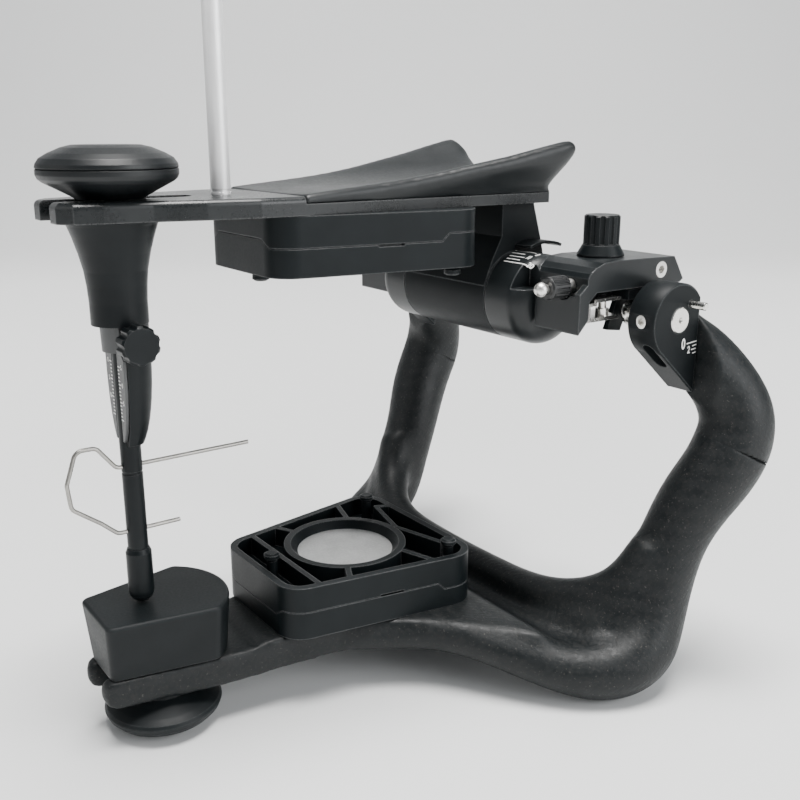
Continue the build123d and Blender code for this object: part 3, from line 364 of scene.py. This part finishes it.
ROUND = (0.5,)                 # relax steps that round edges
SETTLE = (0.6, -0.62)          # relax steps that only take ripples out
CARBON_VOXEL = 0.8
CARBON_ROUNDS = 12
CORNER_ROUNDS = 45
FORK_FADE = (4.0, 18.0, 0.70)  # the share grows from this y, over this run, and is at least this
HEAD_ENDS = (92.0, 156.0, 0.30)   # above this z and in front of this y it is the third number
CORNER_Y = (86.0, 14.0)        # the corners' share grows back from this y, over this run, mm
CORNER_Z = (66.0, 12.0)        # and down from this z, over this run
SEAM_OVERLAP = 1.5             # how far the upright tops are sunk into the base before skinning
FORK_TOP = 22.03               # the incisal table slides over this, as far back as y = TABLE_REACH
TABLE_REACH = 27.4
SEAM_POINT = (78.1, 163.3, 76.0)
SEAM_NORMAL = (0.13, 0.42, 0.9)
SEAM_SIDE = 30                 # both seams lie further out than this, mm
GROOVE_HALF = 0.75
GROOVE_DEPTH = 1.15
GROOVE_REAR = (0.45, 0.89, 0.0)    # the groove is deepest on this side of an upright
GROOVE_FADE = (0.55, 11, 0.04)   # share at the seam point, run to a full share in mm, least share
SEAM_NEAR = 4                  # only faces this near the seam are cut for the groove, mm
SEAM_TOUCH = 0.3               # an upright top's cut face lies this near the seam plane, mm


def seam_plane(side):
    """Point and normal of the elbow seam on one side."""
    point = Vector((side * SEAM_POINT[0], *SEAM_POINT[1:])) * MM
    return point, Vector((side * SEAM_NORMAL[0], *SEAM_NORMAL[1:])).normalized()


def carbon_share(x, y, z):
    """The fork keeps a tighter edge, and the ends at the condyle heads keep most of theirs."""
    start, run, least = FORK_FADE
    above, before, kept = HEAD_ENDS
    share = np.clip((y - start) / run, least, 1.0)
    return np.where((z > above) & (y < before), kept, share)


def corner_share(x, y, z):
    """Only where web, rim and uprights run together, low at the back."""
    (back, run), (high, drop) = CORNER_Y, CORNER_Z
    return np.clip((y - back) / run, 0.0, 1.0) * np.clip((high - z) / drop, 0.0, 1.0)


def seam_groove(bm, region, side):
    """Score the elbow seam, deepest at the back and fading out towards the front, and tag what lies
    above it."""
    point, normal = seam_plane(side)
    for offset in (-GROOVE_HALF, 0.0, GROOVE_HALF):
        near = [f for f in bm.faces if f.calc_center_median().x * side > SEAM_SIDE * MM
                and abs((f.calc_center_median() - point).dot(normal)) < SEAM_NEAR * MM]
        geom = {*near, *(e for f in near for e in f.edges), *(v for f in near for v in f.verts)}
        bmesh.ops.bisect_plane(bm, geom=list(geom), dist=0.5e-6,
                               plane_co=point + normal * offset * MM, plane_no=normal)
    for face in bm.faces:
        middle = face.calc_center_median()
        if middle.x * side > SEAM_SIDE * MM and (middle - point).dot(normal) > 0:
            face[region] = side
    bm.normal_update()
    rear = Vector((side * GROOVE_REAR[0], *GROOVE_REAR[1:]))
    middle_share, run, least = GROOVE_FADE
    for v in bm.verts:
        if v.co.x * side > SEAM_SIDE * MM and abs((v.co - point).dot(normal)) < 1e-6:
            fade = min(max(middle_share + (v.co - point).dot(rear) / (run * MM), least), 1.0)
            v.co -= v.normal * GROOVE_DEPTH * fade * MM


def region_object(bm, region, value, name):
    """The faces with one tag as a closed object of their own, its cut face flat and sharp-edged."""
    piece = bm.copy()
    layer = piece.faces.layers.int["region"]
    bmesh.ops.delete(piece, geom=[f for f in piece.faces if f[layer] != value], context="FACES")
    rims = [e for e in piece.edges if e.is_boundary]
    for face in piece.faces:
        face.smooth = True
    for edge in rims:
        edge.smooth = False
    for cap in bmesh.ops.holes_fill(piece, edges=rims, sides=0)["faces"]:
        cap.smooth = False
    bmesh.ops.recalc_face_normals(piece, faces=piece.faces)
    mesh = bpy.data.meshes.new(name)
    piece.to_mesh(mesh)
    piece.free()
    return new_object(name, mesh, CARBON)


def stand_in(piece, body, node):
    """Put a dressed piece in the place of a CAD node."""
    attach(piece, body)
    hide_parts(node)


def carbon_frame():
    """Base and both upright tops as one moulded skin, parted again at the elbow seams."""
    bm = bmesh.new()
    for node, side in (("lower_frame", 0), ("right_upright_top", 1), ("left_upright_top", -1)):
        seen = len(bm.verts)
        bm.from_mesh(NODES[node].data)
        if side:
            point, normal = seam_plane(side)
            bm.verts.ensure_lookup_table()
            for v in bm.verts[seen:]:
                if abs((v.co - point).dot(normal)) < SEAM_TOUCH * MM:
                    v.co -= normal * SEAM_OVERLAP * MM
    skin = remeshed("carbon_skin", bm, CARBON, CARBON_VOXEL)
    relax(skin.data, CARBON_ROUNDS, ROUND, carbon_share)
    relax(skin.data, CORNER_ROUNDS, ROUND, corner_share)
    relax(skin.data, CARBON_ROUNDS, SETTLE, lambda x, y, z: 1.0)
    for v in skin.data.vertices:
        if v.co.y < TABLE_REACH * MM:
            v.co.z = min(v.co.z, FORK_TOP * MM)
    bm = bmesh.new()
    bm.from_mesh(skin.data)
    region = bm.faces.layers.int.new("region")
    for side in (1, -1):
        seam_groove(bm, region, side)
    for value, name, node in ((0, "carbon_base", "lower_frame"),
                              (1, "carbon_upright_right", "right_upright_top"),
                              (-1, "carbon_upright_left", "left_upright_top")):
        stand_in(region_object(bm, region, value, name), "lower_member", node)
    bm.free()
    bpy.data.objects.remove(skin)


REST_VOXEL = 0.6
REST_ROUNDS = 110
REST_SWELL = 0.8               # how much fuller the wings' rims are, mm
REST_TIP = (3.4, 1.9)          # how far their tips reach back and up
REST_POINTS = (0.88, 0.475)    # the way the tips point
REST_CUT = 5.6                 # this much of each tip is pushed back
REST_BLUNT = 2.2               # into this much
REST_WING = ((70.0, 40.0), (155.0, 6.0))     # y and z where the swell starts, and its run, mm
REST_REACH = ((112.0, 22.0), (157.0, 8.0))   # the same for the tips' reach
REST_SEAT = 153.4              # the seated underside ends below this z
REST_FADE = (46.0, 80.0, 0.03, 1.3)   # y, run, least share and power of the rims' rounding
TIP_ROUNDS = 14
TIP_Y = (100.0, 20.0)          # the tips' share grows back from this y, over this run, mm
TIP_Z = (156.0, 4.0)           # and up from this z, over this run


def ramp01(value, start, run):
    """0 up to start, 1 from start + run on, and a straight line between them."""
    return min(max((value - start) / run, 0.0), 1.0)


def rest_share(x, y, z):
    """The seated underside and the thin front lip stay; the wings' rims and tips are rounded."""
    start, run, least, power = REST_FADE
    return np.where(z < REST_SEAT, 0.0, np.clip((y - start) / run, least, 1.0) ** power)


def tip_share(x, y, z):
    """Only the tips of the wings."""
    (back, run), (low, rise) = TIP_Y, TIP_Z
    return np.clip((y - back) / run, 0.0, 1.0) * np.clip((z - low) / rise, 0.0, 1.0)


def soft_hand_rest():
    """The hand rest with rounded rims and blunt tips."""
    bm = bmesh.new()
    bm.from_mesh(NODES["hand_rest"].data)
    rest = remeshed("hand_rest_skin", bm, REST, REST_VOXEL)
    relax(rest.data, REST_ROUNDS, ROUND, rest_share)
    rims = [(v, v.normal.copy()) for v in rest.data.vertices]
    for v, normal in rims:
        _, y, z = v.co / MM
        wing = ramp01(y, *REST_WING[0]) * ramp01(z, *REST_WING[1])
        tip = ramp01(y, *REST_REACH[0]) * ramp01(z, *REST_REACH[1])
        v.co += (normal * REST_SWELL * wing + Vector((0.0, *REST_TIP)) * tip) * MM
    fore, up = REST_POINTS
    end = max(v.co.y * fore + v.co.z * up for v in rest.data.vertices) / MM - REST_CUT
    for v in rest.data.vertices:
        past = (v.co.y * fore + v.co.z * up) / MM - end
        if past > 0:
            pull = past - REST_BLUNT * (1.0 - math.exp(-past / REST_BLUNT))
            v.co -= Vector((0.0, fore, up)) * pull * MM
    rest.data.update()
    relax(rest.data, TIP_ROUNDS, ROUND, tip_share)
    for poly in rest.data.polygons:
        poly.use_smooth = True
    stand_in(rest, "upper_member", "hand_rest")


SLOT_CENTRE = (66.2, 138.0, 106.3)
SLOT_SIZE = (11.6, 4.4)
SLOT_FACE = (0.756, 0.655)     # the slanted face runs this far back and down per millimetre
SLOT_DEPTH = 4.2
SLOT_CLEAR = 4.0               # how far the cutter stands out of the face
SLOT_STEPS = 24


def slotted_head(side, label):
    """Condyle head with the slot through its slanted underside."""
    (x, y, z), (length, width), (fore, up) = SLOT_CENTRE, SLOT_SIZE, SLOT_FACE
    along, out, across = Vector((0, fore, -up)), Vector((0, -up, -fore)), Vector((side, 0, 0))
    bm = bmesh.new()
    rings = []
    for height in (SLOT_CLEAR, -SLOT_DEPTH):
        ring = []
        for i in range(SLOT_STEPS):
            angle = math.radians(360 * (i + 0.5) / SLOT_STEPS)
            shift = (length - width) / 2 * (1 if math.cos(angle) > 0 else -1)
            spot = Vector((side * x, y, z)) + along * (shift + width / 2 * math.cos(angle))
            spot = spot + across * (width / 2 * math.sin(angle)) + out * height
            ring.append(bm.verts.new(spot * MM))
        rings.append(ring)
    for i in range(SLOT_STEPS):
        j = (i + 1) % SLOT_STEPS
        bm.faces.new((rings[0][i], rings[0][j], rings[1][j], rings[1][i]))
    bm.faces.new(rings[0])
    bm.faces.new(rings[1][::-1])
    bmesh.ops.recalc_face_normals(bm, faces=bm.faces)
    mesh = bpy.data.meshes.new("cutter")
    bm.to_mesh(mesh)
    bm.free()
    cutter = new_object("cutter", mesh, HEAD)
    node = f"{label}_condyle_head"
    head = new_object(f"condyle_head_body_{label}", NODES[node].data.copy(), HEAD)
    cut = head.modifiers.new("slot", "BOOLEAN")
    cut.operation = "DIFFERENCE"
    cut.solver = "EXACT"
    cut.object = cutter
    applied(head)
    bpy.data.objects.remove(cutter)
    stand_in(head, "lower_member", node)


carbon_frame()
soft_hand_rest()
for side, label in ((1, "right"), (-1, "left")):
    slotted_head(side, label)


# ------------------------------------------------------------------ scales
MARK_HIGH = 0.06               # how far the paint stands out of a face, mm
HUB_STROKE, HEAD_STROKE, PIN_STROKE = 0.36, 0.3, 0.34   # line widths, mm
HUB_TEXT, HUB_NARROW = 2.9, 0.62   # height of the figures in mm, and how much they are narrowed
PIN_TEXT, PIN_NARROW = 1.9, 0.75
MARK_BOLD = 0.02               # how much the figures are thickened, as a share of their height


class Marks:
    """White figures and lines gathered on one face, in millimetres: u to the right, v up, h out of
    the face."""

    def __init__(self):
        self.bm = bmesh.new()

    def line(self, start, end, width):
        start, end = Vector(start), Vector(end)
        run = end - start
        side = Vector((-run.y, run.x)).normalized() * width / 2
        steps = max(1, math.ceil(run.length))
        rings = []
        for i in range(steps + 1):
            middle = start + run * i / steps
            low, top = middle - side, middle + side
            rings.append([self.bm.verts.new((*spot, h)) for spot, h in
                          ((low, -MARK_HIGH), (low, MARK_HIGH),
                           (top, MARK_HIGH), (top, -MARK_HIGH))])
        for a, b in zip(rings, rings[1:]):
            for i in range(4):
                j = (i + 1) % 4
                self.bm.faces.new((a[i], b[i], b[j], a[j]))
        self.bm.faces.new(rings[0])
        self.bm.faces.new(rings[-1][::-1])

    def text(self, body, u, v, size, narrow):
        curve = bpy.data.curves.new("figure", "FONT")
        curve.body = body
        curve.size = size
        curve.align_x = curve.align_y = "CENTER"
        curve.offset = MARK_BOLD * size
        curve.extrude = MARK_HIGH
        curve.resolution_u = 4
        figure = bpy.data.objects.new("figure", curve)
        bpy.context.scene.collection.objects.link(figure)
        bpy.context.view_layer.update()
        graph = bpy.context.evaluated_depsgraph_get()
        mesh = bpy.data.meshes.new_from_object(figure.evaluated_get(graph))
        seen = len(self.bm.verts)
        self.bm.from_mesh(mesh)
        self.bm.verts.ensure_lookup_table()
        for vert in self.bm.verts[seen:]:
            vert.co = (u + vert.co.x * narrow, v + vert.co.y, vert.co.z)
        bpy.data.objects.remove(figure)
        bpy.data.curves.remove(curve)
        bpy.data.meshes.remove(mesh)

    def build(self, name, place, body):
        """Lay the marks on the part: place(u, v, h) gives millimetres in the frame."""
        for vert in self.bm.verts:
            vert.co = Vector(place(*vert.co)) * MM
        bmesh.ops.recalc_face_normals(self.bm, faces=self.bm.faces)
        mesh = bpy.data.meshes.new(name)
        self.bm.to_mesh(mesh)
        self.bm.free()
        piece = new_object(name, mesh, WHITE)
        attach(piece, body)


TUBE = (123.0, 120.6, 14.2)    # y, z and radius of the hubs that carry the inclination scales
HUB_END = (37.5, 6.0)          # outer face of the hubs and the radius of their rounding
HUB_LINES = ((124.5, 23.4, 33.5), (118.5, 23.3, 29.2), (112.0, 22.9, 29.6),   # degrees, from, to
             (103.5, 21.9, 27.8), (93.0, 20.5, 30.2))
HUB_FIGURES = (("20", 122.5, 34.4), ("10", 110.5, 31.2), ("0", 99.0, 32.2))   # degrees, place
HEAD_FACE = 70.0               # outer face of the condyle heads
HEAD_LINES = (((147.7, 109.8), (152.3, 110.15)), ((150.4, 108.8), (152.3, 109.05)),
              ((150.0, 107.7), (152.3, 107.9)), ((150.7, 106.5), (152.3, 106.75)))
HEAD_FIGURES = (("0", 146.15, 109.75, 4.6, 0.72),   # y, z, height, narrowing
                ("2", 148.85, 107.7, 3.1, 0.8))
PLATE_FACE = -3.5              # front of the engraved strips beside the incisal pin
PIN_SCALES = ((-1, 111.5, ("0", "5", "10", "15")), (1, 111.0, ("5", "0", "5", "10")))
PIN_TICKS = 16
TICK_FROM, TICK_TO, TICK_TO_LONG, FIGURE_AT = 2.35, 3.3, 3.9, 4.85   # mm from the middle
LAST_TICK = 95.4
LAST_FIGURE = 97.0


def inclination_scale(side, label):
    """Degree lines and figures round the front of a hub."""
    y, z, radius = TUBE
    marks = Marks()
    for angle, inner, outer in HUB_LINES:
        v = -math.radians(angle) * radius
        marks.line((side * inner, v), (side * outer, v), HUB_STROKE)
    for figure, angle, u in HUB_FIGURES:
        marks.text(figure, side * u, -math.radians(angle) * radius, HUB_TEXT, HUB_NARROW)

    def place(u, v, h):
        end, rounding = HUB_END
        past = min(max(abs(u) - (end - rounding), 0.0), rounding)
        r = radius + h - rounding + math.sqrt(rounding ** 2 - past ** 2)
        return u, y + r * math.cos(-v / radius), z + r * math.sin(-v / radius)

    marks.build(f"inclination_scale_{label}", place, f"{label}_fossa")


def shift_scale(side, label):
    """Short lines and two figures on the outer face of a condyle head."""
    marks = Marks()
    for (y0, z0), (y1, z1) in HEAD_LINES:
        marks.line((side * y0, z0), (side * y1, z1), HEAD_STROKE)
    for figure, y, z, size, narrow in HEAD_FIGURES:
        marks.text(figure, side * y, z, size, narrow)
    marks.build(f"head_scale_{label}", lambda u, v, h: (side * (HEAD_FACE + h), side * u, v),
                "lower_member")


def pin_scale():
    """Millimetre ticks along both engraved strips, with a longer tick and a figure every five."""
    marks = Marks()
    for side, top, figures in PIN_SCALES:
        for i in range(PIN_TICKS):
            z = top - i
            five = i % 5 == 0
            if z > LAST_TICK:
                end = TICK_TO_LONG if five else TICK_TO
                marks.line((side * TICK_FROM, z), (side * end, z), PIN_STROKE)
            if five and z > LAST_FIGURE:
                marks.text(figures[i // 5], side * FIGURE_AT, z, PIN_TEXT, PIN_NARROW)
    marks.build("pin_scale_marks", lambda u, v, h: (u, PLATE_FACE - h, v),
                "upper_member")


for side, label in ((1, "right"), (-1, "left")):
    inclination_scale(side, label)
    shift_scale(side, label)
pin_scale()


# ------------------------------------------------------------------ floor, light, camera
FLOOR_FRONT = -4.0
FLOOR_BACK = 1.1
FLOOR_HALF = 6.0
SWEEP_R = 0.7
SWEEP_TOP = 2.6
SWEEP_STEPS = 12
SHADE_CENTRE = (-0.12, 0.22, 0.0)   # painted shadow: the floor is a little darker round the object, fully so up to the first distance, not at all past the second
SHADE_FROM, SHADE_TO = 0.08, 0.75   # fully so up to the first distance, not at all past the second
PAPER_SHADE = (0.62, 0.63, 0.63)
PAPER_DARK = (0.83, 0.84, 0.84)
PAPER_LIGHT = (0.86, 0.868, 0.868)


def backdrop():
    """Pale sweep: a level floor that curves up far behind the object."""
    mesh = bpy.data.meshes.new("floor")
    bm = bmesh.new()
    profile = [(FLOOR_FRONT, 0.0), (FLOOR_BACK, 0.0)]
    for i in range(1, SWEEP_STEPS + 1):
        a = math.radians(90 * i / SWEEP_STEPS)
        profile.append((FLOOR_BACK + SWEEP_R * math.sin(a), SWEEP_R - SWEEP_R * math.cos(a)))
    profile.append((FLOOR_BACK + SWEEP_R, SWEEP_TOP))
    back = Vector((-math.sin(VIEW_TURN), math.cos(VIEW_TURN), 0))
    side = Vector((math.cos(VIEW_TURN), math.sin(VIEW_TURN), 0))
    rows = [[bm.verts.new(back * d + side * w + Vector((0, 0, h)))
             for w in (-FLOOR_HALF, FLOOR_HALF)] for d, h in profile]
    for a, b in zip(rows, rows[1:]):
        bm.faces.new((a[0], a[1], b[1], b[0]))
    bm.normal_update()
    bm.to_mesh(mesh)
    bm.free()
    for poly in mesh.polygons:
        poly.use_smooth = True
    s = Shader("floor_paper")
    paper = s.mix(s.ramp(s.noise(0.002, detail=2), 0.3, 0.7, 0.0, 1.0), PAPER_DARK, PAPER_LIGHT)
    away = s.node("ShaderNodeVectorMath", operation="DISTANCE")
    s.link(s.coord, away.inputs[0])
    away.inputs[1].default_value = SHADE_CENTRE
    # painted shadow: the paper's colour darkens towards the object
    shade = s.ramp(away.outputs["Value"], SHADE_FROM, SHADE_TO, 0.0, 1.0)
    s.put(s.bsdf.inputs["Base Color"], s.mix(shade, PAPER_SHADE, paper))
    s.put(s.bsdf.inputs["Roughness"], s.ramp(s.noise(0.02), 0.3, 0.7, 0.75, 0.85))
    s.bsdf.inputs["Specular IOR Level"].default_value = 0.15
    floor = new_object("floor", mesh, s.mat)


def area(name, place, target, size, power, colour):
    """Rectangular lamp at a place, turned to a target."""
    data = bpy.data.lights.new(name, "AREA")
    data.shape = "RECTANGLE"
    data.size, data.size_y = size
    data.energy = power
    data.color = colour
    obj = bpy.data.objects.new(name, data)
    obj.location = place
    obj.rotation_euler = (Vector(target) - Vector(place)).to_track_quat("-Z", "Y").to_euler()
    bpy.context.scene.collection.objects.link(obj)


backdrop()
MIDDLE = (0.0, 0.08, 0.08)     # what every lamp is turned to
area("ceiling", (0.1, 0.1, 1.5), MIDDLE, (0.75, 0.75), 60, (1.0, 0.985, 0.97))
area("left_window", (-0.35, -1.15, 0.75), MIDDLE, (1.1, 0.8), 3, (1.0, 0.985, 0.965))
area("right_fill", (1.1, 0.55, 0.55), MIDDLE, (0.8, 0.8), 14, (0.98, 0.99, 1.0))
world = bpy.data.worlds.new("studio")
world.use_nodes = True
sky = world.node_tree.nodes["Background"]
sky.inputs["Color"].default_value = (0.93, 0.96, 1.0, 1.0)
sky.inputs["Strength"].default_value = 0.30
bpy.context.scene.world = world

LENS = 43.29
CAMERA_PLACE = (0.250, -0.0885, 0.1725)
CAMERA_TILT = math.radians(74.21)   # from straight down
camera_data = bpy.data.cameras.new("camera")
camera_data.sensor_width = 36.0
camera_data.lens = LENS
camera = bpy.data.objects.new("camera", camera_data)
camera.location = CAMERA_PLACE
camera.rotation_euler = (CAMERA_TILT, 0.0, VIEW_TURN)
bpy.context.scene.collection.objects.link(camera)
bpy.context.scene.camera = camera
